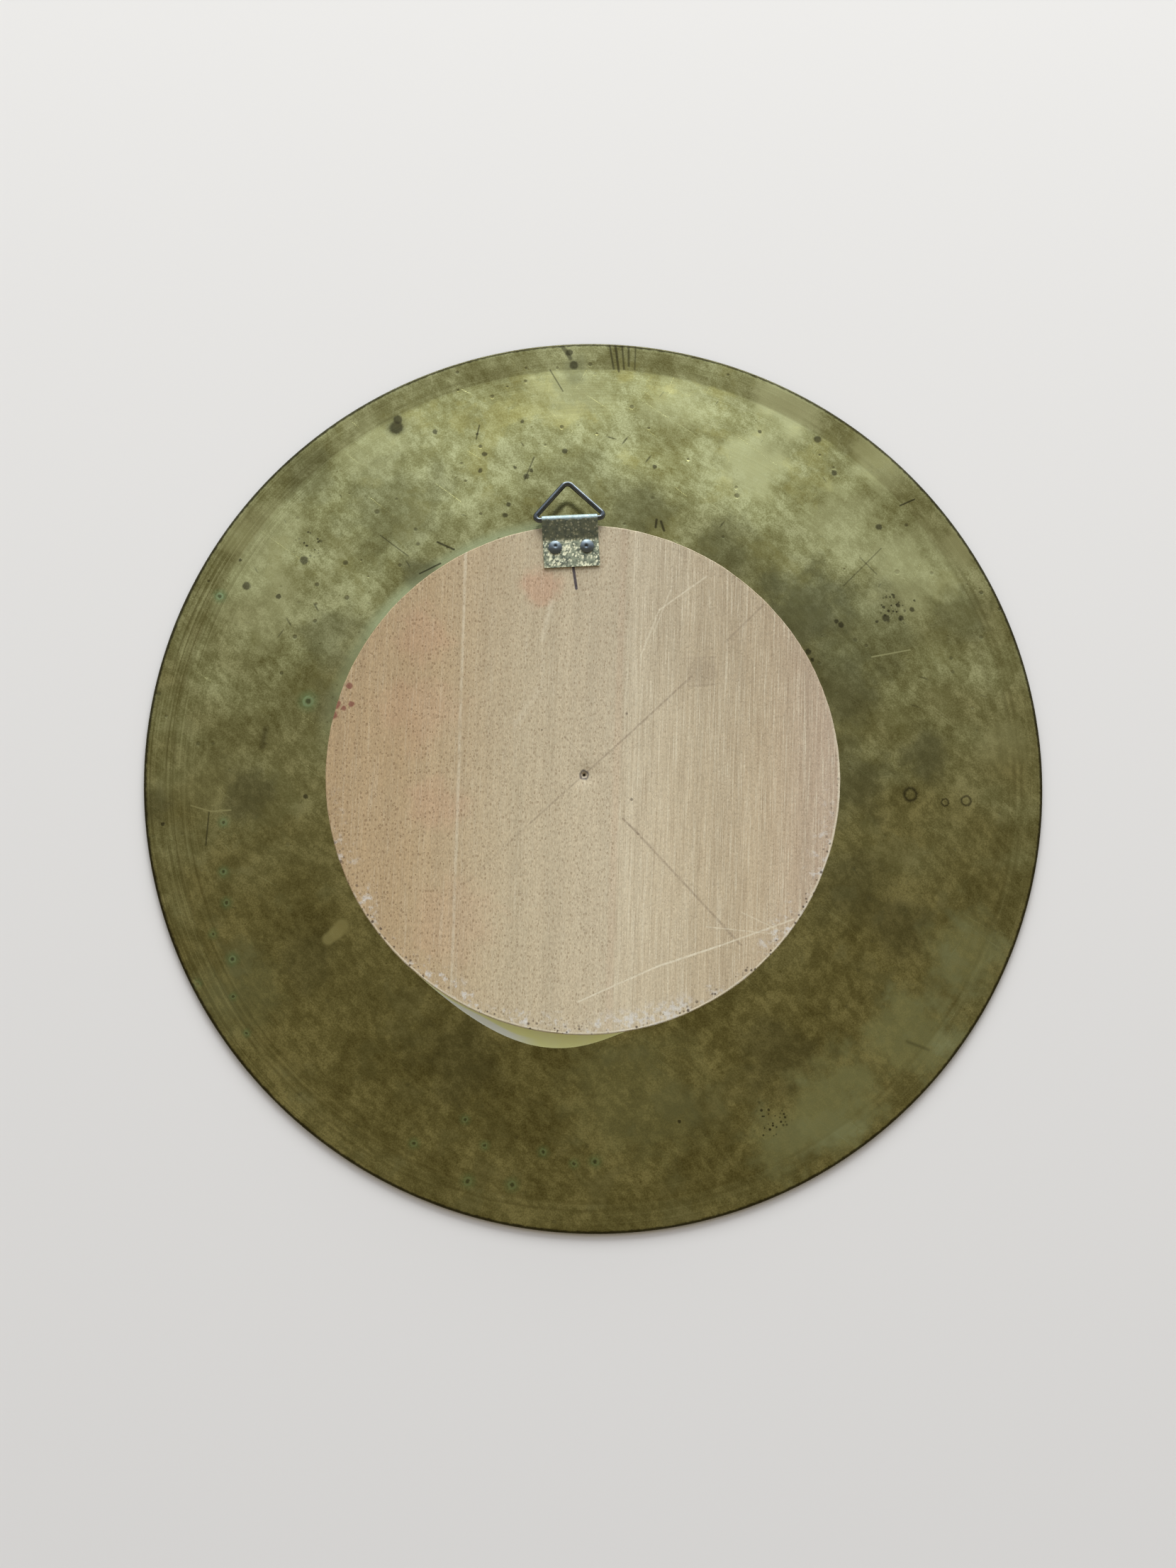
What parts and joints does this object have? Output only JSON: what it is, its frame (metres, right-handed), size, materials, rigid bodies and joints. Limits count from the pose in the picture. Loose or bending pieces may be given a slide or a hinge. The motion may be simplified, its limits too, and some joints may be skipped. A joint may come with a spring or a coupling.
{
  "type": "paten plate",
  "caption": "Shallow spun metal paten plate with a flat rim, backed by a glued wooden disc that carries a folded strap hanger with a hinged triangular wire ring.",
  "frame": {"origin": "the plate's axis, on the plane that its rim rests on when it lies face down", "axes": "+Z along the plate's axis, out of its back; +Y from the backing disc's middle towards the hanging ring, which is up when the plate hangs; +X along the ring's hinge"},
  "size_m": [0.2286, 0.2286, 0.0145],
  "materials": {
    "paten_plate": "dull, tarnished, finely brushed round its axis",
    "glue_bed": "clear set glue",
    "glue_squeeze_out": "clear set glue, glossy",
    "backing_disc": "bare sanded beech, grey with age",
    "hanger_strap": "dull zinc plate",
    "hanging_ring": "bright zinc-plated wire",
    "nail_left": "smooth zinc-plated dome",
    "nail_right": "smooth zinc-plated dome"
  },
  "bodies": {
    "plate": {"paten_plate": "paten_plate", "glue_bed": "glue_bed", "glue_squeeze_out": "glue_squeeze_out", "backing_disc": "backing_disc", "hanger_strap": "hanger_strap", "nail_left": "nail_left", "nail_right": "nail_right"},
    "ring": {"hanging_ring": "hanging_ring"}
  },
  "joints": [
    {"name": "ring_hinge", "type": "hinge", "parent": "plate", "child": "ring", "pos_m": [-0.0038, 0.0634, 0.01349], "axis": [1, 0, 0], "range_deg": [-38, 156]}
  ]
}
